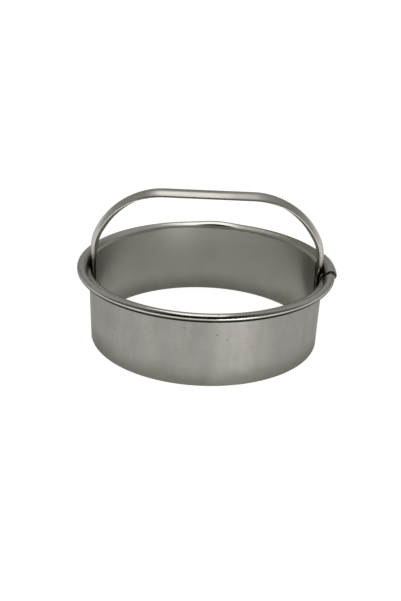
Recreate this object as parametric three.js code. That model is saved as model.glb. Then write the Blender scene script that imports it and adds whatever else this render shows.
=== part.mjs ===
// Round dough cutter: a rolled sheet band with a curled rim, and a rigid strap handle spot-welded inside it.
// Millimetres, +Z up. The cutting edge lies on z = 0 round the origin, and the handle runs along X.
// The band's lap seam is at the handle's +X foot.
import * as THREE from 'three';

// Band
const bandDiameter = 89; // outside of the straight wall
const sheet = 0.6; // thickness of the band's sheet
const rimHeight = 29.3; // cutting edge to the top of the rim
const beadDiameter = 97.9; // outside of the curled rim
const beadHeight = 2.4; // underside of the curl to its top
const shoulderRadius = 1.9; // bend from the wall into the curl, at mid sheet
const lipGap = 0.5; // slit between the curl's lip and the wall

// Lap seam of the band
const lapLength = 8; // overlap of the two ends, along the wall
const lapReach = 3.6; // how far the covering end runs past the handle's plane
const lapEase = 16; // length in which the covering end rises over the other

// Handle strap
const strapBlank = 9.6; // width of the strip before it is rolled
const strapThickness = 0.6;
const gripRoll = THREE.MathUtils.degToRad(40); // half angle of the hollow section along the grip
const footRoll = THREE.MathUtils.degToRad(8); // half angle of the flattened feet
const handleRise = 28.8; // rim to the top of the handle
const cornerRadius = 28.85; // large bend at each end of the flat top
const cornerTurn = THREE.MathUtils.degToRad(67.5); // how far the large bend turns
const kneeRadius = 15.9; // tighter bend from there to the upright leg
const legOverhang = 0.46; // upright leg past the line of the inner wall, above the rim
const flattenAbove = 5; // the section starts to flatten this far above the rim
const flattenBelow = 4.8; // and is flat this far below it
const joggleAbove = 2.4; // set of each leg into the band starts this far above the rim
const joggleBelow = 2.1; // and ends this far below it
const footDrop = 12.3; // rim to the end of a foot

// Spot welds
const jointGap = 0.45; // space between two welded sheets
const nuggetClearance = 0.1; // nugget to each sheet
const nuggetDiameter = 2.6;
const footWeldMargin = 3; // end of a foot to its lower weld
const footWeldPitch = 4.5;
const seamWeldMargin = 4.2; // cutting edge to the lowest seam weld
const seamWeldPitch = 8;

// Smoothness of the faceted surfaces
const hoopStep = THREE.MathUtils.degToRad(5);
const shoulderSteps = 4;
const curlSteps = 7;
const strapFaceSteps = 6;
const bendSteps = 6;
const legSteps = 14;
const nuggetSides = 16;

// Values that follow from the sizes above
const wallRadius = bandDiameter / 2;
const innerRadius = wallRadius - sheet;
const lapOffset = sheet + jointGap;
const handleTop = rimHeight + handleRise;
const footEnd = rimHeight - footDrop;
const legX = innerRadius + legOverhang;
const leftWallX = innerRadius;
const rightWallX = innerRadius - lapOffset;

const bandSteel = new THREE.MeshStandardMaterial({ color: 0xa5a29a, roughness: 0.34, metalness: 1 });
const strapSteel = new THREE.MeshStandardMaterial({ color: 0xaaa79f, roughness: 0.3, metalness: 1 });
const weldSteel = new THREE.MeshStandardMaterial({ color: 0x6a6258, roughness: 0.6, metalness: 1 });

// Closed solid of a bent sheet. Each station is a ring of points: one face across the sheet, then the other face
// back again. Seen looking along the stations, the rings run counter-clockwise.
function sheetSolid(rings) {
  const size = rings[0].length;
  const last = (rings.length - 1) * size;
  const index = [];
  const quad = (a, b, c, d) => index.push(a, b, c, a, c, d);
  for (let start = 0; start < last; start += size) {
    for (let j = 0; j < size; j += 1) {
      const here = start + j;
      const beside = start + (j + 1) % size;
      quad(here, here + size, beside + size, beside);
    }
  }
  for (let j = 0; j + 1 < size / 2; j += 1) {
    const across = size - 1 - j;
    quad(j, j + 1, across - 1, across);
    quad(last + across, last + across - 1, last + j + 1, last + j);
  }
  const geometry = new THREE.BufferGeometry();
  const positions = rings.flat().flatMap((point) => point.toArray());
  geometry.setAttribute('position', new THREE.Float32BufferAttribute(positions, 3));
  geometry.setIndex(index);
  geometry.computeVertexNormals();
  return geometry;
}

// Mid-sheet outline of the band from the cutting edge up the wall, over the shoulder and round the curl, as radius
// and height with the direction of its skin side: inwards on the wall, up on the rim, outwards on the curl.
function bandOutline() {
  const curlRadius = (beadHeight - sheet) / 2;
  const midTop = rimHeight - sheet / 2;
  const shoulderCentre = new THREE.Vector2(wallRadius - sheet / 2 + shoulderRadius, midTop - shoulderRadius);
  const curlCentre = new THREE.Vector2((beadDiameter - sheet) / 2 - curlRadius, midTop - curlRadius);
  const outline = [{ at: new THREE.Vector2(wallRadius - sheet / 2, 0), skin: new THREE.Vector2(-1, 0) }];
  const addArc = (centre, radius, from, to, steps) => {
    for (let i = 0; i <= steps; i += 1) {
      const angle = THREE.MathUtils.lerp(from, to, i / steps);
      const skin = new THREE.Vector2(Math.cos(angle), Math.sin(angle));
      outline.push({ at: centre.clone().addScaledVector(skin, radius), skin });
    }
  };
  addArc(shoulderCentre, shoulderRadius, Math.PI, Math.PI / 2, shoulderSteps);
  addArc(curlCentre, curlRadius, Math.PI / 2, -Math.PI / 2, curlSteps);
  const lip = new THREE.Vector2(wallRadius + lipGap, curlCentre.y - curlRadius);
  outline.push({ at: lip, skin: new THREE.Vector2(0, -1) });
  return outline;
}

// The hoop runs once round from the covering end to the covered end. The covering end is set to its skin side, so
// its wall lies inside the other end's wall and its curl wraps over the other end's curl.
function cutterBand() {
  const outline = bandOutline();
  const startAngle = -lapReach / wallRadius;
  const endAngle = startAngle + 2 * Math.PI + lapLength / wallRadius;
  const easeStart = startAngle + (lapLength + lapReach) / wallRadius;
  const easeEnd = easeStart + lapEase / wallRadius;
  const steps = Math.ceil((endAngle - startAngle) / hoopStep);
  const rings = [];
  for (let i = 0; i <= steps; i += 1) {
    const angle = THREE.MathUtils.lerp(startAngle, endAngle, i / steps);
    const rise = lapOffset * (1 - THREE.MathUtils.smoothstep(angle, easeStart, easeEnd));
    const face = (side) => outline.map(({ at, skin }) => {
      const point = at.clone().addScaledVector(skin, rise + side * sheet / 2);
      return new THREE.Vector3(point.x * Math.cos(angle), point.x * Math.sin(angle), point.y);
    });
    rings.push([...face(-1), ...face(1).reverse()]);
  }
  return sheetSolid(rings);
}

// Crest of one half of the handle in its own plane, from the middle of the flat top to the end of a foot.
function handleHalf(wallX) {
  const bend = new THREE.Path();
  const turnX = kneeRadius + (cornerRadius - kneeRadius) * Math.sin(cornerTurn);
  const flatEnd = legX - turnX;
  const cornerZ = handleTop - cornerRadius;
  const kneeX = legX - kneeRadius;
  const kneeZ = cornerZ + (cornerRadius - kneeRadius) * Math.cos(cornerTurn);
  bend.moveTo(0, handleTop);
  bend.lineTo(flatEnd, handleTop);
  bend.absarc(flatEnd, cornerZ, cornerRadius, Math.PI / 2, Math.PI / 2 - cornerTurn, true);
  bend.absarc(kneeX, kneeZ, kneeRadius, Math.PI / 2 - cornerTurn, 0, true);
  const crest = bend.getPoints(bendSteps);
  for (let i = 1; i <= legSteps; i += 1) {
    crest.push(new THREE.Vector2(legX, THREE.MathUtils.lerp(kneeZ, footEnd, i / legSteps)));
  }
  const footX = wallX - jointGap;
  crest.forEach((point) => {
    const upper = THREE.MathUtils.smoothstep(point.y, rimHeight - joggleBelow, rimHeight + joggleAbove);
    point.x += (footX - legX) * (1 - upper);
  });
  return crest;
}

// The strap follows the crest from the left foot over the top to the right foot. Its section is the flat strip
// rolled to part of a circle, hollow along the grip and nearly flat at the feet.
function strapHandle() {
  const left = handleHalf(leftWallX).map((point) => new THREE.Vector2(-point.x, point.y));
  const crest = [...left.slice(1).reverse(), ...handleHalf(rightWallX).slice(1)];
  const rings = crest.map((point, i) => {
    const before = crest[Math.max(i - 1, 0)];
    const after = crest[Math.min(i + 1, crest.length - 1)];
    const along = after.clone().sub(before).normalize();
    const outward = new THREE.Vector2(-along.y, along.x);
    const formed = THREE.MathUtils.smoothstep(point.y, rimHeight - flattenBelow, rimHeight + flattenAbove);
    const roll = THREE.MathUtils.lerp(footRoll, gripRoll, formed);
    const outerRadius = strapBlank / (2 * roll);
    const face = (radius) => Array.from({ length: strapFaceSteps + 1 }, (_, j) => {
      const angle = THREE.MathUtils.lerp(-roll, roll, j / strapFaceSteps);
      const depth = radius * Math.cos(angle) - outerRadius;
      const across = radius * Math.sin(angle);
      return new THREE.Vector3(point.x + outward.x * depth, across, point.y + outward.y * depth);
    });
    return [...face(outerRadius), ...face(outerRadius - strapThickness).reverse()];
  });
  return sheetSolid(rings);
}

// A spot weld's nugget, a disc in the gap between two sheets with its axis along X.
function weldNugget(x, z) {
  const radius = nuggetDiameter / 2;
  const disc = new THREE.CylinderGeometry(radius, radius, jointGap - 2 * nuggetClearance, nuggetSides);
  const nugget = new THREE.Mesh(disc, weldSteel);
  nugget.rotation.z = Math.PI / 2;
  nugget.position.set(x, 0, z);
  return nugget;
}

const cutter = new THREE.Group();

function add(name, mesh) {
  mesh.name = name;
  cutter.add(mesh);
}

add('cutter_band', new THREE.Mesh(cutterBand(), bandSteel));
add('strap_handle', new THREE.Mesh(strapHandle(), strapSteel));

['lower', 'upper'].forEach((level, i) => {
  const height = footEnd + footWeldMargin + i * footWeldPitch;
  add(`left_foot_weld_${level}`, weldNugget(-(leftWallX - jointGap / 2), height));
  add(`right_foot_weld_${level}`, weldNugget(rightWallX - jointGap / 2, height));
});

['lower', 'middle', 'upper'].forEach((level, i) => {
  add(`seam_weld_${level}`, weldNugget(innerRadius - jointGap / 2, seamWeldMargin + i * seamWeldPitch));
});

export default cutter;
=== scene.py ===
# %% [markdown]
# # A round dough cutter
#
# The cutter is a hoop of thin stainless sheet with a curled rim, and a strap handle that is
# spot-welded inside it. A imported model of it, with plain faceted solids, is the frame of this scene.
# The frame says where each piece sits and how large it is, so it is loaded first and nothing in it
# is moved.

# %% Load the frame
import math

import bpy
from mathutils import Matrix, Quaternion, Vector


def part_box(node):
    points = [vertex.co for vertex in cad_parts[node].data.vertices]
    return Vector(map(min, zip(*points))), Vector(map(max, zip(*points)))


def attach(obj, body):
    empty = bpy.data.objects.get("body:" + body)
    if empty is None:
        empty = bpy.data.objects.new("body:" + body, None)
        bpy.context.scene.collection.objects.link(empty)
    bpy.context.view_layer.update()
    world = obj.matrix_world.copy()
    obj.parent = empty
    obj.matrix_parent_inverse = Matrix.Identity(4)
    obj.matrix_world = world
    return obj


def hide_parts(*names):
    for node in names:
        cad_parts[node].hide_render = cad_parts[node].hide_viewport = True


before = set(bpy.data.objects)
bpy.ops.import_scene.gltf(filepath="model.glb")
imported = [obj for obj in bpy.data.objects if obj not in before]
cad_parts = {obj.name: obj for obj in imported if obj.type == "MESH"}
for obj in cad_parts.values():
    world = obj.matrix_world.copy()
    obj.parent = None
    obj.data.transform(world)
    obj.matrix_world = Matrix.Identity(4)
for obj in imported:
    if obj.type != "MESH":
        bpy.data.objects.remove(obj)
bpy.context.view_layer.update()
mm = 0.001
print("frame:", sorted(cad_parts))

# %% [markdown]
# ## Camera
#
# The picture looks down at the cutter from the front at a shallow angle, with the handle across the
# frame. A camera can be placed by eye in the viewport, but sizes that can be named are easier to
# correct: the aim point on the object, the distance, two angles, and a small roll because the picture
# was taken slightly askew.

# %% Camera at the picture's angle
aim = Vector((-1.63 * mm, 0, 13.3 * mm))
distance = 377 * mm
azimuth = math.radians(0.85)
elevation = math.radians(24.07)
roll = math.radians(2.22)

camera = bpy.data.objects.new("camera", bpy.data.cameras.new("camera"))
bpy.context.scene.collection.objects.link(camera)
camera.data.lens = 57.7
camera.data.sensor_width = 36
camera.data.clip_start = 0.01
back = Vector((
    math.sin(azimuth) * math.cos(elevation),
    -math.cos(azimuth) * math.cos(elevation),
    math.sin(elevation),
))
camera.location = aim + back * distance
camera.rotation_mode = "QUATERNION"
camera.rotation_quaternion = (-back).to_track_quat("-Z", "Y") @ Quaternion((0, 0, 1), roll)
bpy.context.scene.camera = camera
print("camera at", [round(c, 4) for c in camera.location])

# %% [markdown]
# ## Drawing with one point
#
# Sheet metal is easiest to think of as a line that is swept along a path. In edit mode a line starts
# from a single point: add a plane, merge it to its centre and move it to where the line begins.
# Extruding the point draws a straight stretch, and Spin draws an arc. The same two tools then sweep
# the finished line into a surface.

# %% Drawing tools
def start_line(name, place):
    """Adds an object that holds one selected point, and leaves it in edit mode."""
    bpy.ops.object.select_all(action="DESELECT")
    bpy.ops.mesh.primitive_plane_add(size=mm)
    piece = bpy.context.object
    piece.name = piece.data.name = name
    bpy.ops.object.mode_set(mode="EDIT")
    bpy.ops.mesh.merge(type="CENTER")
    bpy.ops.transform.translate(value=place)
    return piece


def draw_straight(step):
    """Extrudes the selected point by this step."""
    bpy.ops.mesh.extrude_vertices_move(TRANSFORM_OT_translate={"value": step})


def turn_about(centre, axis, angle, steps):
    """Spins what is selected by the right-hand rule. The operator itself turns the other way."""
    bpy.ops.mesh.spin(steps=steps, angle=angle, center=centre, axis=[-part for part in axis])


# %% [markdown]
# ## Band: setting out the section
#
# The band is one sheet all the way: a straight wall, a tight shoulder, a ledge that rises outwards in
# a shallow arc, a rounded crest, and a curl that turns down and back to hide the cut edge. A rim like
# this is rolled, so its section is arcs, each of which leaves the last one along the same direction.
# The curl is set out from the bead's width and the shoulder from the wall. The ledge's two slopes are
# chosen, and its radius is what the space between shoulder and crest asks. The frame's band is higher
# at its lap, so the lap's rise is taken off to find the rim.

# %% Set out the band's section
wall_radius = 44.5 * mm
bead_radius = 48.95 * mm
sheet = 0.6 * mm
lap_rise = 1.05 * mm
rim_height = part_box("cutter_band")[1].z - lap_rise
shoulder_radius = 1.0 * mm
ledge_foot = math.radians(32)
ledge_head = math.radians(14)
crest_radius = 2.0 * mm
crest_drop = math.radians(35)
curl_radius = 1.0 * mm

mid_wall = wall_radius - sheet / 2
mid_top = rim_height - sheet / 2
shoulder_x = mid_wall + shoulder_radius
curl_x = bead_radius - sheet / 2 - curl_radius
crest_x = curl_x - (crest_radius - curl_radius) * math.sin(crest_drop)
crest_z = mid_top - crest_radius
curl_z = crest_z + (crest_radius - curl_radius) * math.cos(crest_drop)
ledge_wide = crest_x - shoulder_x
ledge_wide += shoulder_radius * math.sin(ledge_foot) - crest_radius * math.sin(ledge_head)
ledge_radius = ledge_wide / (math.sin(ledge_foot) - math.sin(ledge_head))
ledge_x = shoulder_x + (ledge_radius - shoulder_radius) * math.sin(ledge_foot)
ledge_z = crest_z - (ledge_radius - crest_radius) * math.cos(ledge_head)
shoulder_z = ledge_z + (ledge_radius - shoulder_radius) * math.cos(ledge_foot)
print("rim at", round(rim_height, 4), "ledge radius", round(ledge_radius, 4))

# %% [markdown]
# ## Band: drawing the section
#
# A maker bends the strip's edge between rolls, one arc after the other, and the line is drawn in the
# same order: along the middle of the sheet, from the cutting edge up. The sheet's thickness comes
# later, so that it can be shaped while it is still a single surface. The wall is drawn in short rows,
# because the marks of the welds need points to push.

# %% Draw the band's section
wall_rows = 45
lip_gap = 0.5 * mm

band = start_line("band", (mid_wall, 0, 0))
for row in range(wall_rows):
    draw_straight((0, 0, shoulder_z / wall_rows))
turn_about((shoulder_x, 0, shoulder_z), (0, 1, 0), math.pi / 2 - ledge_foot, 10)
turn_about((ledge_x, 0, ledge_z), (0, 1, 0), ledge_foot - ledge_head, 8)
turn_about((crest_x, 0, crest_z), (0, 1, 0), ledge_head + crest_drop, 10)
turn_about((curl_x, 0, curl_z), (0, 1, 0), math.pi - crest_drop, 22)
draw_straight((wall_radius + lip_gap - curl_x, 0, 0))
bpy.ops.object.mode_set(mode="OBJECT")
print("band section:", len(band.data.vertices), "points")

# %% [markdown]
# ## Band: the hoop
#
# The strip's two ends lap at the right-hand foot, so the hoop is a little more than one round. The
# section is swept in two goes: first the covering end, then the rest of the round. The number of
# points after the first go tells the two apart later. The steps are finer where the welds are, so
# that their marks can be pressed into the sheet. The faces are turned to look into the hoop, because
# the covering end is later pushed that way.

# %% Sweep the hoop
lap_length = 8 * mm
lap_reach = 3.6 * mm
lap_ease = 16 * mm
coarse_step = math.radians(2)
fine_step = math.radians(0.6)
weld_zone = math.radians(4)

lap_start = -lap_reach / wall_radius
lap_end = lap_start + lap_length / wall_radius
ease_start = lap_end + lap_reach / wall_radius
ease_end = ease_start + lap_ease / wall_radius


def sweep_round(angle, stops):
    """Spins what is selected about the hoop's axis, from each stop to the next with its own step."""
    for stop, step in stops:
        turn_about((0, 0, 0), (0, 0, 1), stop - angle, math.ceil((stop - angle) / step))
        angle = stop


def face_towards(piece, outward):
    """Makes the faces agree, and flips them all if they point against the outward direction."""
    bpy.ops.mesh.select_all(action="SELECT")
    bpy.ops.mesh.normals_make_consistent(inside=False)
    bpy.ops.object.mode_set(mode="OBJECT")
    agree = sum(face.normal.dot(outward(face.center)) * face.area for face in piece.data.polygons)
    if agree < 0:
        bpy.ops.object.mode_set(mode="EDIT")
        bpy.ops.mesh.flip_normals()
        bpy.ops.object.mode_set(mode="OBJECT")


def into_the_hoop(place):
    """Towards the axis on the wall. The rim turns over, so it has no say."""
    return Vector((-place.x, -place.y, 0)) if place.z < shoulder_z else Vector((0, 0, 0))


bpy.ops.object.mode_set(mode="EDIT")
bpy.ops.mesh.select_all(action="SELECT")
# In a script with no window this operator turns the other way, so the angle changes its sign.
bpy.ops.transform.rotate(value=-lap_start, orient_axis="Z", center_override=(0, 0, 0))
sweep_round(lap_start, [(weld_zone, fine_step), (ease_end, coarse_step / 2)])
bpy.ops.object.mode_set(mode="OBJECT")
covering_points = len(band.data.vertices)
bpy.ops.object.mode_set(mode="EDIT")
sweep_round(ease_end, [
    (math.pi - weld_zone, coarse_step),
    (math.pi + weld_zone, fine_step),
    (2 * math.pi + lap_start, coarse_step),
    (2 * math.pi + lap_end, fine_step),
])
face_towards(band, into_the_hoop)
print("band sheet:", len(band.data.polygons), "faces")

# %% [markdown]
# ## Pushing a sheet by weights
#
# Dents, lifts and bent edges all come from moving some points of a sheet a little. Moving them by hand
# leaves bumps that are hard to correct later. Here a function gives each point a weight from 0 to 1,
# the weights are kept in a vertex group, and a Displace modifier moves the points by that weight, along
# the sheet's own normals or along one axis.

# %% Pushing tools
def smooth_step(low, high, value):
    """0 below low, 1 above high, and a smooth rise between them."""
    share = min(max((value - low) / (high - low), 0), 1)
    return share * share * (3 - 2 * share)


def apply_modifier(piece, kind, **settings):
    """Adds a modifier with these settings and applies it at once."""
    modifier = piece.modifiers.new(kind.lower(), kind)
    for name, value in settings.items():
        setattr(modifier, name, value)
    bpy.ops.object.modifier_apply(modifier=modifier.name)


def push_group(piece, name, strength, direction):
    """Moves the points of a vertex group by strength times their weights."""
    apply_modifier(
        piece, "DISPLACE",
        vertex_group=name, direction=direction, mid_level=0, strength=strength,
    )


def push(piece, name, weight, strength, direction="NORMAL"):
    """Moves a sheet's points by strength times a weight, which a function gives for each point."""
    group = piece.vertex_groups.new(name=name)
    for point in piece.data.vertices:
        group.add([point.index], weight(point), "REPLACE")
    push_group(piece, name, strength, direction)


# %% [markdown]
# ## Band: the lap seam
#
# The covering end lies inside the other end at the wall and wraps over it at the rim, which makes the
# small step on the bead. It could be a second piece, but it is the same sheet, so it is pushed off the
# other end, with a weight that fades along the hoop and lets the sheet ease back into the round. A
# second push draws out the inner corner of its rim, because the strip was cut askew.

# %% Lift the covering end
lap_gap = 0.08 * mm
skew = 1.3 * mm
skew_reach = 8 * mm
skew_rise = 0.5 * mm
skew_end = crest_x + 0.8 * mm


def covering(point):
    """1 on the covering end, which fades to 0 where it joins the rest of the hoop."""
    if point.index >= covering_points:
        return 0
    return 1 - smooth_step(ease_start, ease_end, math.atan2(point.co.y, point.co.x))


def cut_askew(point):
    """1 on the rim's inner side at the end of the covering sheet, which fades out and along."""
    if point.index >= covering_points:
        return 0
    along = (math.atan2(point.co.y, point.co.x) - lap_start) * wall_radius
    inner = 1 - smooth_step(wall_radius, skew_end, point.co.xy.length)
    on_rim = smooth_step(shoulder_z, shoulder_z + skew_rise, point.co.z)
    return inner * on_rim * (1 - smooth_step(0, skew_reach, along))


push(band, "covering_end", covering, sheet + lap_gap)
push(band, "askew_cut", cut_askew, -skew, "Y")
print("covering end:", covering_points, "points")

# %% [markdown]
# ## Band: weld marks
#
# A spot welder presses the sheets between two electrodes, and each leaves a shallow round mark in the
# sheet that it touches. The frame knows where the welds are, so the marks are placed from its boxes.
# They could be bump in the finish, but a real dent also shows from the side. So they are pushes, with a
# weight of 1 in the middle of a mark: inwards on the outer sheet and outwards on the covering end.

# %% Press the weld marks
mark_radius = 1.7 * mm
mark_depth = 0.14 * mm
weld_places = {name: sum(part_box(name), Vector()) / 2 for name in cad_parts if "weld" in name}


def weld_mark(point, places):
    """1 in the middle of the nearest weld's mark and 0 outside it."""
    gaps = [(point.co - place).yz.length for place in places if place.x * point.co.x > 0]
    return 1 - smooth_step(mark_radius / 2, mark_radius, min(gaps, default=mark_radius))


def outer_mark(point):
    return weld_mark(point, weld_places.values()) if point.index >= covering_points else 0


def inner_mark(point):
    seam = [place for name, place in weld_places.items() if "seam" in name]
    return weld_mark(point, seam) if point.index < covering_points else 0


push(band, "outer_marks", outer_mark, mark_depth)
push(band, "inner_marks", inner_mark, -mark_depth)
print("weld marks at", {name: [round(c, 4) for c in place] for name, place in weld_places.items()})

# %% [markdown]
# ## Band: a knock and a flare
#
# A real hoop isn't a perfect one. A knock has raised the rim at the back, from a crease at the shoulder
# outwards, which is one more push. The handle springs the band's upper edge apart a little, so the band
# is slightly wider across the handle at the top than at the bottom: a Simple Deform modifier set to
# Taper does that along one axis.

# %% Knock and flare the band
knock_angle = math.radians(86)
knock_reach = 11 * mm
knock_rise = 0.55 * mm
crease_radius = 44.7 * mm
crease_width = 0.5 * mm
bottom_squeeze = 0.9935
flare = 0.017


def knocked(point):
    """1 outside the crease in the middle of the knock, which fades along the hoop."""
    along = abs(math.atan2(point.co.y, point.co.x) - knock_angle) * wall_radius
    outside = smooth_step(crease_radius, crease_radius + crease_width, point.co.xy.length)
    return outside * (1 - smooth_step(0, knock_reach, along))


push(band, "knock", knocked, knock_rise, "Z")
bpy.ops.object.mode_set(mode="EDIT")
bpy.ops.mesh.select_all(action="SELECT")
bpy.ops.transform.resize(value=(bottom_squeeze, 1, 1), center_override=(0, 0, 0))
bpy.ops.object.mode_set(mode="OBJECT")
apply_modifier(
    band, "SIMPLE_DEFORM",
    deform_method="TAPER", deform_axis="Z", factor=flare, lock_y=True,
)
print("band flared to", round(band.dimensions.x, 4), "across the handle")

# %% [markdown]
# ## Band: thickness and edges
#
# Solidify gives the sheet its thickness, half to each side of the drawn line. No cut edge is perfectly
# sharp, so a narrow Bevel breaks the corners; without it, the cutting edge and the seam would never
# catch the light.

# %% Give the band its thickness
edge_break = 0.1 * mm
sharp_angle = math.radians(50)
smooth_angle = math.radians(40)


def finish_sheet(piece, thickness, side, break_width):
    """Gives a sheet its thickness, breaks its corners and smooths its shading."""
    apply_modifier(piece, "SOLIDIFY", thickness=thickness, offset=side, use_even_offset=True)
    apply_modifier(
        piece, "BEVEL",
        width=break_width, segments=2, limit_method="ANGLE", angle_limit=sharp_angle,
    )
    bpy.ops.object.shade_smooth_by_angle(angle=smooth_angle)


finish_sheet(band, sheet, 0, edge_break)
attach(band, "root")
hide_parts("cutter_band")
print("band:", len(band.data.polygons), "faces, wide", round(band.dimensions.x, 4))

# %% [markdown]
# ## Strap: a hollow section along a bent path
#
# The handle is a strip that is rolled to a shallow channel, which is stiffer and kinder to the fingers
# than a flat strip. Half of it is made and mirrored. An arc of points is the section; extruding it
# makes the flat top, and spinning it makes the wide corner and the tighter knee. The leg is extruded
# in short rows, so that each row can be reshaped by itself.

# %% Draw half of the strap
strap_low, strap_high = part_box("strap_handle")
handle_top = strap_high.z
foot_end = strap_low.z
leg_x = strap_high.x
strap_blank = 9.6 * mm
strap_thickness = 0.6 * mm
grip_roll = math.radians(40)
corner_radius = 28.85 * mm
corner_turn = math.radians(67.5)
knee_radius = 15.9 * mm
leg_rows = 40

grip_radius = strap_blank / (2 * grip_roll)
bend_gap = corner_radius - knee_radius
flat_end = leg_x - knee_radius - bend_gap * math.sin(corner_turn)
corner_z = handle_top - corner_radius
knee_z = corner_z + bend_gap * math.cos(corner_turn)
section_z = handle_top - grip_radius
near_edge = (0, -grip_radius * math.sin(grip_roll), section_z + grip_radius * math.cos(grip_roll))
row_step = (0, 0, (foot_end - knee_z) / leg_rows)

strap = start_line("strap", near_edge)
turn_about((0, 0, section_z), (-1, 0, 0), 2 * grip_roll, 16)
bpy.ops.mesh.select_all(action="SELECT")
bpy.ops.mesh.extrude_edges_move(TRANSFORM_OT_translate={"value": (flat_end, 0, 0)})
turn_about((flat_end, 0, corner_z), (0, 1, 0), corner_turn, 24)
turn_about((leg_x - knee_radius, 0, knee_z), (0, 1, 0), math.pi / 2 - corner_turn, 8)
for row in range(leg_rows):
    bpy.ops.mesh.extrude_edges_move(TRANSFORM_OT_translate={"value": row_step})
print("half strap: flat to", round(flat_end, 4), "knee at", round(knee_z, 4))

# %% [markdown]
# ## Strap: flattened feet
#
# Towards the rim the channel opens out into a flat foot. Each row of the leg is an arc, so scaling the
# row towards its crest flattens it and scaling it sideways widens it. The two factors come from one
# idea: the strip's width measured round the arc stays the same while the arc opens.

# %% Flatten the leg
foot_roll = math.radians(8)
flatten_above = 5 * mm
flatten_below = 4.8 * mm
tolerance = 0.01 * mm


def pick(piece, test):
    """Selects the points whose place passes the test, and stays in edit mode."""
    bpy.ops.mesh.select_all(action="DESELECT")
    bpy.ops.object.mode_set(mode="OBJECT")
    for point in piece.data.vertices:
        point.select = test(point.co)
    bpy.ops.object.mode_set(mode="EDIT")


def leg_heights():
    """Heights of the leg's rows, from the knee to the end of the foot."""
    return [knee_z + (foot_end - knee_z) * row / leg_rows for row in range(leg_rows + 1)]


def on_row(height, side):
    """A test for the points of one row: on the right for a side of 1, on the left for -1."""
    return lambda place: abs(place.z - height) < tolerance and place.x * side > 0


for height in leg_heights():
    formed = smooth_step(rim_height - flatten_below, rim_height + flatten_above, height)
    open_roll = foot_roll + (grip_roll - foot_roll) * formed
    open_radius = strap_blank / (2 * open_roll)
    deep = open_radius * (1 - math.cos(open_roll)) / (grip_radius * (1 - math.cos(grip_roll)))
    wide = open_radius * math.sin(open_roll) / (grip_radius * math.sin(grip_roll))
    pick(strap, on_row(height, 1))
    bpy.ops.transform.resize(value=(deep, wide, 1), center_override=(leg_x, 0, height))
print("foot width", round(strap_blank * math.sin(foot_roll) / foot_roll, 5))

# %% [markdown]
# ## Strap: mirror and feet
#
# A Mirror modifier makes the left half. The feet are then set against the inside of the wall by a
# joggle at the rim. The right foot goes further in, because it lies on two sheets, so this comes after
# the mirror. The corners of the feet are rounded, as a punch leaves them.

# %% Mirror the strap and set its feet
joggle_above = 2.4 * mm
joggle_below = 2.1 * mm
foot_gap = 0.12 * mm
right_set = 0.35 * mm
foot_corner = 1.6 * mm
foot_edge = 0.49 * strap_blank

bpy.ops.object.mode_set(mode="OBJECT")
apply_modifier(strap, "MIRROR", use_axis=(True, False, False), merge_threshold=tolerance)
bpy.ops.object.mode_set(mode="EDIT")
pick(strap, lambda place: place.x > flat_end / 2)
bpy.ops.transform.translate(value=(right_set, 0, 0))
foot_middle = (foot_end + rim_height) / 2
inner_wall = wall_radius * bottom_squeeze * (1 + flare * foot_middle / rim_height) - sheet
leg_place = {-1: leg_x, 1: leg_x + right_set}
foot_place = {-1: inner_wall - foot_gap, 1: inner_wall - sheet - lap_gap - foot_gap}
for side, foot_x in foot_place.items():
    for height in leg_heights():
        set_in = 1 - smooth_step(rim_height - joggle_below, rim_height + joggle_above, height)
        pick(strap, on_row(height, side))
        bpy.ops.transform.translate(value=(side * (foot_x - leg_place[side]) * set_in, 0, 0))
pick(strap, lambda place: place.z < foot_end + tolerance and abs(place.y) > foot_edge)
bpy.ops.mesh.bevel(offset=foot_corner, affect="VERTICES", segments=4)
face_towards(strap, lambda place: Vector((place.x, 0, place.z - foot_end)))
print("feet at", {side: round(side * foot_x, 5) for side, foot_x in foot_place.items()})

# %% [markdown]
# ## Strap: bent edges and thickness
#
# Bending the channel round the corners has pulled its far edge in and pushed its near edge out a
# little, so the dark hollow side shows below the near edge. Displace does this with a weight that grows
# towards each edge. Its push along the normals also draws the far edge towards the middle, so a second
# push along Y gives the strap its width back. The electrodes have marked the feet too, and Solidify
# makes the sheet thick towards the hollow side.

# %% Bend the edges and finish the strap
far_drop = 3.2 * mm
near_lift = 0.7 * mm
leg_share = 0.75
foot_fade = 14 * mm
corner_start = 20 * mm
corner_full = 6 * mm
top_fade = 5 * mm
strap_edge_break = 0.15 * mm
foot_welds = [place for name, place in weld_places.items() if "foot" in name]


def on_leg(point):
    """1 on the wide corners, less along the legs, and 0 at the feet and the flat top."""
    above_foot = smooth_step(rim_height, rim_height + foot_fade, point.co.z)
    corner = smooth_step(handle_top - corner_start, handle_top - corner_full, point.co.z)
    below_top = 1 - smooth_step(handle_top - top_fade, handle_top, point.co.z)
    return above_foot * (leg_share + (1 - leg_share) * corner) * below_top


def far_side(point):
    return max(2 * point.co.y / strap_blank, 0) ** 2 * on_leg(point)


def near_side(point):
    return max(-2 * point.co.y / strap_blank, 0) ** 2 * on_leg(point)


push(strap, "far_side", far_side, -far_drop)
push_group(strap, "far_side", far_drop * math.sin(grip_roll), "Y")
push(strap, "near_side", near_side, near_lift)
push(strap, "foot_marks", lambda point: weld_mark(point, foot_welds), mark_depth)
finish_sheet(strap, strap_thickness, -1, strap_edge_break)
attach(strap, "root")
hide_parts("strap_handle")
print("strap:", len(strap.data.polygons), "faces")

# %% [markdown]
# ## Shader tools
#
# A finish is a small network of nodes. Written as sums and products of wires it can be read like
# arithmetic, and each operator adds its Math node to the tree. Any other node comes from one method.

# %% A wire class for shader maths
def set_stops(ramp, stops):
    """Gives a colour ramp these stops, each a position and a colour."""
    while len(ramp.elements) < len(stops):
        ramp.elements.new(1)
    for element, (position, colour) in zip(ramp.elements, stops):
        element.position = position
        element.color = colour


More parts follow.
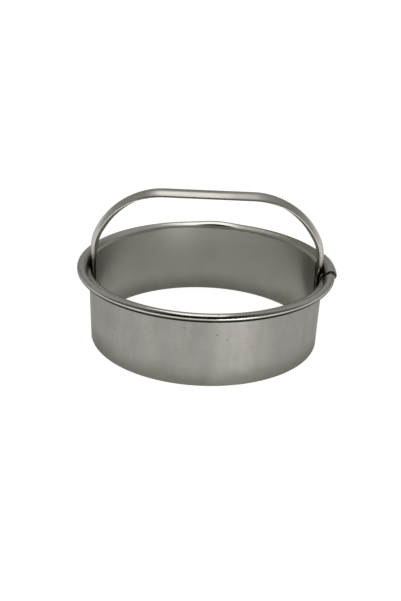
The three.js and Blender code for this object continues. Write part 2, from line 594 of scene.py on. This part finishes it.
class Wire:
    """An output socket of a node. Arithmetic on wires adds Math nodes to the same tree."""

    def __init__(self, socket):
        self.socket = socket

    def node(self, kind, settings=None, sockets=None, output=0):
        """Adds a node, sets its settings, then fills or links its sockets, and returns an output."""
        tree = self.socket.id_data
        made = tree.nodes.new(kind)
        for name, value in (settings or {}).items():
            if name == "stops":
                set_stops(made.color_ramp, value)
            else:
                setattr(made, name, value)
        for name, value in (sockets or {}).items():
            if isinstance(value, Wire):
                tree.links.new(value.socket, made.inputs[name])
            else:
                made.inputs[name].default_value = value
        return Wire(made.outputs[output])

    def beside(self, output):
        """Another output of the same node."""
        return Wire(self.socket.node.outputs[output])

    def maths(self, operation, first, second=0.0):
        return self.node("ShaderNodeMath", {"operation": operation}, {0: first, 1: second})

    def __add__(self, other):
        return self.maths("ADD", self, other)

    def __radd__(self, other):
        return self.maths("ADD", other, self)

    def __sub__(self, other):
        return self.maths("SUBTRACT", self, other)

    def __rsub__(self, other):
        return self.maths("SUBTRACT", other, self)

    def __mul__(self, other):
        return self.maths("MULTIPLY", self, other)

    def __rmul__(self, other):
        return self.maths("MULTIPLY", other, self)

    def larger(self, other):
        return self.maths("MAXIMUM", self, other)

    def smaller(self, other):
        return self.maths("MINIMUM", self, other)

    def size(self):
        """The number without its sign."""
        return self.maths("ABSOLUTE", self)

    def between(self, low, high):
        """A smooth step from 0 at low to 1 at high."""
        sockets = {"Value": self, "From Min": low, "From Max": high}
        return self.node("ShaderNodeMapRange", {"interpolation_type": "SMOOTHSTEP"}, sockets)

    def mix(self, first, second):
        """The first colour where this wire is 0, the second where it is 1."""
        sockets = {0: self, 6: first, 7: second}
        return self.node("ShaderNodeMix", {"data_type": "RGBA"}, sockets, output=2)

    def split(self):
        """The three numbers of a vector."""
        parts = self.node("ShaderNodeSeparateXYZ", {}, {0: self})
        return [parts.beside(axis) for axis in "XYZ"]


# %% [markdown]
# ## Starting and ending a material
#
# Each finish starts from Object coordinates, which are measured from the cutter's own origin, and ends
# at the output's Surface socket. A new material comes with a ready-made shader, so that is cleared away
# first, and the tree then holds only what the finish says.

# %% Start and end a material
def new_material(name):
    """A material with an empty tree. Returns it with its Object coordinates and its output node."""
    material = bpy.data.materials.new(name)
    material.use_nodes = True
    tree = material.node_tree
    tree.nodes.clear()
    output = tree.nodes.new("ShaderNodeOutputMaterial")
    place = Wire(tree.nodes.new("ShaderNodeTexCoord").outputs["Object"])
    return material, place, output


def finish_with(output, wire):
    """Links the finished shader to the material's output."""
    output.id_data.links.new(wire.socket, output.inputs["Surface"])


def dress(piece, material):
    """Gives a piece this material and no other."""
    piece.data.materials.clear()
    piece.data.materials.append(material)


# %% [markdown]
# ## Measures on the metal
#
# Steel has no picture on it. What tells one stretch from another is where it is: how high, and how far
# from the axis. These helpers turn Object coordinates into such measures, in millimetres so that the
# numbers read like sizes, into noise whose grains have a size too, and into small dots.

# %% Measures and noises
def measures(place):
    """Millimetres along each axis."""
    sockets = {0: place, "Scale": 1 / mm}
    return place.node("ShaderNodeVectorMath", {"operation": "SCALE"}, sockets).split()


def noise(x, y, z, detail=3.0):
    """Soft noise from about 0 to 1 whose grains are one unit of x, y and z."""
    at = x.node("ShaderNodeCombineXYZ", {}, {0: x, 1: y, 2: z})
    return x.node("ShaderNodeTexNoise", {}, {"Vector": at, "Scale": 1.0, "Detail": detail})


def specks(place, spacing, size):
    """1 inside small dots about this size, which lie about this far apart, both in millimetres."""
    cells = place.node("ShaderNodeTexVoronoi", {}, {"Vector": place, "Scale": 1 / (spacing * mm)})
    return 1 - cells.between(0.5 * size / spacing, size / spacing)


# %% [markdown]
# ## Heat and painted shade
#
# Heat colours steel: round a weld lie rings of straw, brown and blue, with a dull spot in the middle.
# The rings are a colour ramp on the distance to the nearest weld. Shade is painted as matt black: it
# doesn't shine at all, so it isn't a darker colour of the metal but a matt shader that is mixed over it.

# %% Steel, heat and painted shade
def steel(level):
    """A warm steel grey of this brightness."""
    return (level * 1.045, level, level * 0.905, 1)


def weld_distance(place):
    """Millimetres to the nearest spot weld."""
    nearest = None
    for centre in weld_places.values():
        sockets = {0: place, 1: centre}
        gap = place.node("ShaderNodeVectorMath", {"operation": "DISTANCE"}, sockets, output="Value")
        nearest = nearest.smaller(gap) if nearest else gap
    return nearest * (1 / mm)


def heat_tint(colour, distance):
    """Straw, brown and blue rings where a weld has heated the steel, and a dull spot in the middle."""
    rings = distance.node("ShaderNodeValToRGB", {"stops": [
        (0.0, steel(0.22)),
        (0.34, steel(0.2)),
        (0.44, (0.085, 0.085, 0.11, 1)),
        (0.58, (0.15, 0.095, 0.06, 1)),
        (0.8, (0.27, 0.21, 0.12, 1)),
    ]}, {0: distance * 0.25})
    return distance.between(2.2, 4.2).mix(rings, colour)


def cover_with_shade(metal, amount):
    """The metal's shader, covered with matt black painted shade by this amount."""
    painted_shade = metal.node("ShaderNodeBsdfDiffuse", {}, {"Color": steel(0.01)})
    return metal.node("ShaderNodeMixShader", {}, {0: amount, 1: metal, 2: painted_shade})


# %% [markdown]
# ## Zones of the band
#
# Before it gets its colours, the band is divided: the rim, the inside of the wall, and what is black or
# dull. The black is painted shade, in the crevices by the feet, under the curl and on the cut end of the
# lap. The dull patches are mostly painted shade as well: the rim's outward side and shoulder near the
# feet, and a dimmed highlight at the back right, with a little random mottle. Each zone is a number
# from 0 to 1 that fades at its border, because a hard border would look painted on.

# %% Zones of the band
wall = wall_radius / mm
top = rim_height / mm
foot = foot_end / mm


def band_zones(x, y, z, radius, normal):
    """Rim, inside, painted shade and dull patches, each from 0 to 1. Places are in millimetres."""
    nx, ny, nz = normal.split()
    facing = nx * x + ny * y
    along = y.size()
    inward = (0 - facing).between(8, 30)
    rim = (z + radius.between(wall + 0.3, wall + 0.9) * 4).between(top - 0.9, top - 0.3)

    # Painted shade: black under the curl, where the bead overhangs the wall.
    under_curl_shade = rim * facing.between(8, 20) * (0 - nz).between(-0.2, 0.15)
    under_curl_shade = under_curl_shade * (0.2 + along.between(8, 42) * 0.8)
    # Painted shade: black in the crevices between the feet and the wall, up over the shoulder.
    crevice_shade = (1 - radius.between(wall + 0.7, wall + 1.5)) * z.between(foot - 3, foot + 7)
    crevice_shade = crevice_shade * (1 - (along + (top - 0.3 - z) * 0.4).between(6, 10)) * inward.larger(rim)
    # Painted shade: black on the cut end of the lap.
    cut_end_shade = rim * (0 - ny).between(0.7, 0.85) * (1 - along.between(6, 8))
    painted_shade = crevice_shade.larger(under_curl_shade).larger(cut_end_shade * 0.85) * 0.96

    mottle = noise(x * 0.9, y * 0.9, z * 0.9)
    near_feet = rim * (1 - along.between(8, 40))
    # Painted shade: the rim near the feet is darker on its outward side, a painted reflection of a darker
    # floor, with a little random mottle.
    outer_shade_and_mottle = near_feet * (mottle.between(0.35, 0.65) * 0.12 + facing.between(8, 35) * 0.6)
    # Painted shade: the rim at the back right is darker, a dimmed highlight.
    back_shade = rim * x.between(7, 15) * y.between(0, 20) * 0.8
    # Painted shade: the shoulder beside the feet is darker.
    shoulder_shade = rim * (1 - along.between(14, 32)) * (1 - radius.between(wall + 1.1, wall + 3.1))
    dull = outer_shade_and_mottle.larger(back_shade).larger(shoulder_shade * 0.85)
    return rim, inward * (1 - rim), painted_shade, dull


print("zones go by: wall", round(wall, 2), "rim", round(top, 2), "end of a foot", round(foot, 2))

# %% [markdown]
# ## Finish of the band
#
# The sheet came satin from the mill, with fine lines that run round the hoop, so the grain is noise that
# is stretched round and squeezed across. The rim was burnished by the rolls that curled it, so it is
# smoother. The inside of the wall is a paler, a little less metallic tone of the same steel, which is
# painted light, set for the shade inside the hoop. The wall darkens and greens towards the cutting edge,
# a painted reflection of the shade on the floor round its foot. Clouds, blotches, clusters of small dark
# specks and the heat rings of the welds break up what is left.

# %% Band steel
def band_finish():
    material, place, output = new_material("band_steel")
    x, y, z = measures(place)
    radius = place.maths("SQRT", x * x + y * y)
    rim, inside, painted_shade, dull = band_zones(x, y, z, radius, place.beside("Normal"))

    grain = noise(x * 0.05, y * 0.05, (z + radius) * 5, 4.0)
    smudge = noise(x * 0.08, y * 0.08, z * 0.08)
    cloud = noise(x * 0.13, y * 0.13, z * 0.02)
    blotch = noise(x * 0.4, y * 0.4, z * 0.2)
    cluster = noise(x * 0.15, y * 0.15, z * 0.15).between(0.48, 0.6)
    dots = specks(place, 2.6, 0.3) * cluster * (1 - inside)
    # Painted shade: darker and greener towards the cutting edge, a painted reflection of the shade on the
    # floor.
    low_shade = 1 - (z + smudge * 8).between(4, 13)

    colour = cloud.between(0.3, 0.7).mix((0.322, 0.32, 0.298, 1), steel(0.37))
    colour = (grain.between(0.3, 0.7) * 0.5).mix(colour, steel(0.3))
    colour = (blotch.between(0.35, 0.65) * 0.2).mix(colour, steel(0.24))
    # Painted light: the inside of the wall gets its own tone, set for the shade inside the hoop.
    colour = (inside * 0.8).mix(colour, (0.39, 0.378, 0.33, 1))
    colour = (low_shade * 0.95).mix(colour, (0.19, 0.186, 0.152, 1))
    colour = rim.mix(colour, steel(0.45))
    # Painted shade: the dull patches darken the rim.
    colour = dull.mix(colour, (0.2, 0.2, 0.165, 1))
    colour = dots.mix(colour, steel(0.1))
    colour = heat_tint(colour, weld_distance(place))
    rough = 0.36 + grain * 0.12 + smudge.between(0.45, 0.8) * 0.06 - inside * 0.05
    rough = rough * (1 - rim * 0.6) + dots * 0.2 + dull * 0.1
    lines = place.node("ShaderNodeBump", {}, {
        "Strength": 0.12,
        "Distance": 0.02 * mm,
        "Height": grain,
    })
    metal = place.node("ShaderNodeBsdfPrincipled", {}, {
        "Base Color": colour,
        "Metallic": 1 - inside * 0.3,
        "Roughness": rough,
        "Anisotropic": 0.75,
        "Anisotropic Rotation": 0.25,
        "Specular Tint": (0.6, 0.6, 0.59, 1),
        "Normal": lines,
    })
    finish_with(output, cover_with_shade(metal, painted_shade))
    return material


dress(band, band_finish())
print("band finish:", len(band.data.materials[0].node_tree.nodes), "nodes")

# %% [markdown]
# ## Finish of the strap
#
# The strip is brighter than the band, and lighter still on the legs. Its brushing runs along it, so the
# grain is squeezed across the strap instead. The hollow side, which faces down into the bail, is dark
# with painted shade, and a painted highlight runs along the near edge as a light line. The feet are
# painted nearly black at their edges, a painted shade where they go down into the crevice at the rim,
# with a dark brown fringe above it.

# %% Strap steel
grip = handle_top / mm
bail_middle = foot + 8  # height of a point inside the bail, which the hollow side faces


def strap_finish():
    material, place, output = new_material("strap_steel")
    x, y, z = measures(place)
    nx, ny, nz = place.beside("Normal").split()
    edge = (0 - ny).between(0.6, 0.72) * (0 - y).between(2, 3) * (1 - z.between(grip - 5.1, grip - 1.6))
    edge_highlight = edge * z.between(top + 1.7, top + 4.7)
    hollow = (0 - (nx * x + nz * (z - bail_middle))).between(4, 16) * (1 - edge)
    leg = z.between(top + 3.7, top + 8.7) * (1 - z.between(grip - 12.1, grip - 4.1))
    grain = noise(x * 0.04, y * 6, z * 0.04, 4.0)
    smudge = noise(x * 0.12, y * 0.12, z * 0.12)
    height = z + smudge * 1.2
    # Painted shade: the feet go nearly black where they go down into the crevice at the rim.
    foot_shade = 1 - height.between(top - 1.9, top + 0.1)
    browned = 1 - height.between(top - 0.8, top + 6.7)
    painted_shade = foot_shade * (0.55 + y.size().between(1.8, 3.2) * 0.4)

    colour = smudge.between(0.3, 0.7).mix(steel(0.35), steel(0.41))
    colour = (grain.between(0.35, 0.7) * 0.4).mix(colour, steel(0.29))
    colour = specks(place, 3.5, 0.25).mix(colour, steel(0.1))
    colour = (leg * 0.8).mix(colour, steel(0.55))
    # Painted shade on the hollow side, which faces down into the bail.
    colour = hollow.mix(colour, steel(0.12))
    # Painted highlight: a light line along the near edge.
    colour = edge_highlight.mix(colour, steel(0.7))
    colour = (browned * 0.9).mix(colour, (0.13, 0.112, 0.085, 1))
    colour = heat_tint(colour, weld_distance(place))
    rough = 0.2 + grain * 0.08 + smudge.between(0.45, 0.8) * 0.08 + foot_shade.larger(hollow) * 0.2
    rough = rough + x.between(2, 14) * z.between(grip - 8.1, grip - 3.1) * 0.12
    lines = place.node("ShaderNodeBump", {}, {
        "Strength": 0.1,
        "Distance": 0.02 * mm,
        "Height": grain,
    })
    metal = place.node("ShaderNodeBsdfPrincipled", {}, {
        "Base Color": colour,
        "Metallic": 1.0,
        "Roughness": rough,
        "Specular Tint": (0.6, 0.6, 0.59, 1),
        "Normal": lines,
    })
    finish_with(output, cover_with_shade(metal, painted_shade))
    return material


dress(strap, strap_finish())
print("strap finish:", len(strap.data.materials[0].node_tree.nodes), "nodes")

# %% [markdown]
# ## Finish of the welds
#
# A weld nugget is metal that melted between the sheets and froze again. It is dull and grainy, and the
# air has turned it brown, so two colours follow one noise and a second, finer one roughens the surface.

# %% Weld steel
def weld_finish():
    material, place, output = new_material("weld_steel")
    x, y, z = measures(place)
    patch = noise(x * 1.5, y * 1.5, z * 1.5)
    grit = noise(x * 9, y * 9, z * 9)
    colour = patch.between(0.35, 0.65).mix(steel(0.16), (0.13, 0.095, 0.07, 1))
    pits = place.node("ShaderNodeBump", {}, {
        "Strength": 0.5,
        "Distance": 0.05 * mm,
        "Height": grit,
    })
    finish_with(output, place.node("ShaderNodeBsdfPrincipled", {}, {
        "Base Color": colour,
        "Metallic": 1.0,
        "Roughness": 0.45 + patch * 0.2,
        "Normal": pits,
    }))
    return material


fused_metal = weld_finish()
for name in weld_places:
    dress(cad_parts[name], fused_metal)
print("welds dressed:", len(weld_places))

# %% [markdown]
# ## Floor
#
# The cutter stands on white paper. A floor that is lit to white would throw too much light on the metal,
# so the paper is a grey that also glows white, but only for rays that look at it: from the camera, by way
# of a reflection, or through glass. Where the cutter shades the grey, a faint shadow stays.

# %% White paper
floor_radius = 3
floor_drop = 0.05 * mm

bpy.ops.object.select_all(action="DESELECT")
bpy.ops.mesh.primitive_circle_add(
    vertices=64, radius=floor_radius, fill_type="NGON", location=(0, 0, -floor_drop),
)
floor = bpy.context.object
floor.name = "floor"


def seen_directly(wire):
    """1 for camera, glossy and transmission rays, which show the background as it is."""
    camera_ray = wire.node("ShaderNodeLightPath", {}, {}, "Is Camera Ray")
    reflected = camera_ray.beside("Is Glossy Ray")
    let_through = camera_ray.beside("Is Transmission Ray")
    return camera_ray.larger(reflected).larger(let_through)


paper, place, output = new_material("floor_paper")
matt = place.node("ShaderNodeBsdfDiffuse", {}, {"Color": (0.3, 0.3, 0.3, 1)})
glow = place.node("ShaderNodeEmission", {}, {
    "Color": (0.97, 0.97, 0.97, 1),
    "Strength": seen_directly(place),
})
finish_with(output, place.node("ShaderNodeAddShader", {}, {0: matt, 1: glow}))
dress(floor, paper)
print("floor radius", floor_radius)

# %% [markdown]
# ## Light
#
# Metal shows the room around it, so the light is a room: grey walls that are white near the floor, a
# bright strip low in front with a window to the right of the camera, and darkness above the front, a
# little less to the sides, which draws the dark line along the bead. A soft box high up behind the
# cutter gives the broad highlights.

# %% Studio light
world = bpy.data.worlds.new("studio")
bpy.context.scene.world = world
world.use_nodes = True
tree = world.node_tree
tree.nodes.clear()
direction = Wire(tree.nodes.new("ShaderNodeTexCoord").outputs["Generated"])
across, depth, height = direction.split()
low = 1 - height.between(0.12, 0.24)
sides = across.size().between(0.3, 0.65)
dark_side = (1 - depth.between(-0.05, 0.4)) * (1 - low) * (1 - sides * 0.3)
strip = (1 - depth.between(-0.6, -0.1)) * low
window = (across * 0.47 - depth * 0.88).between(0.93, 0.99)
backdrop = 1 - height.between(0.04, 0.14)
walls = 0.52 + backdrop * 0.48
level = walls * (1 - dark_side) + strip * (1.4 + window * 5)
lit = direction.node("ShaderNodeBackground", {}, {"Color": (1, 1, 1, 1), "Strength": level})
tree.links.new(lit.socket, tree.nodes.new("ShaderNodeOutputWorld").inputs["Surface"])


def soft_box(name, place, wide, long, power):
    """An area lamp that faces the cutter."""
    lamp = bpy.data.lights.new(name, "AREA")
    lamp.shape = "RECTANGLE"
    lamp.size = wide
    lamp.size_y = long
    lamp.energy = power
    holder = bpy.data.objects.new(name, lamp)
    bpy.context.scene.collection.objects.link(holder)
    holder.location = place
    holder.rotation_mode = "QUATERNION"
    holder.rotation_quaternion = (-Vector(place)).to_track_quat("-Z", "Y")


soft_box("overhead_light", (-0.04, 0.33, 0.86), 0.3, 0.64, 1.05)
bpy.context.scene.view_settings.view_transform = "Standard"
print("world:", len(tree.nodes), "nodes, lamps:", [lamp.name for lamp in bpy.data.lights])
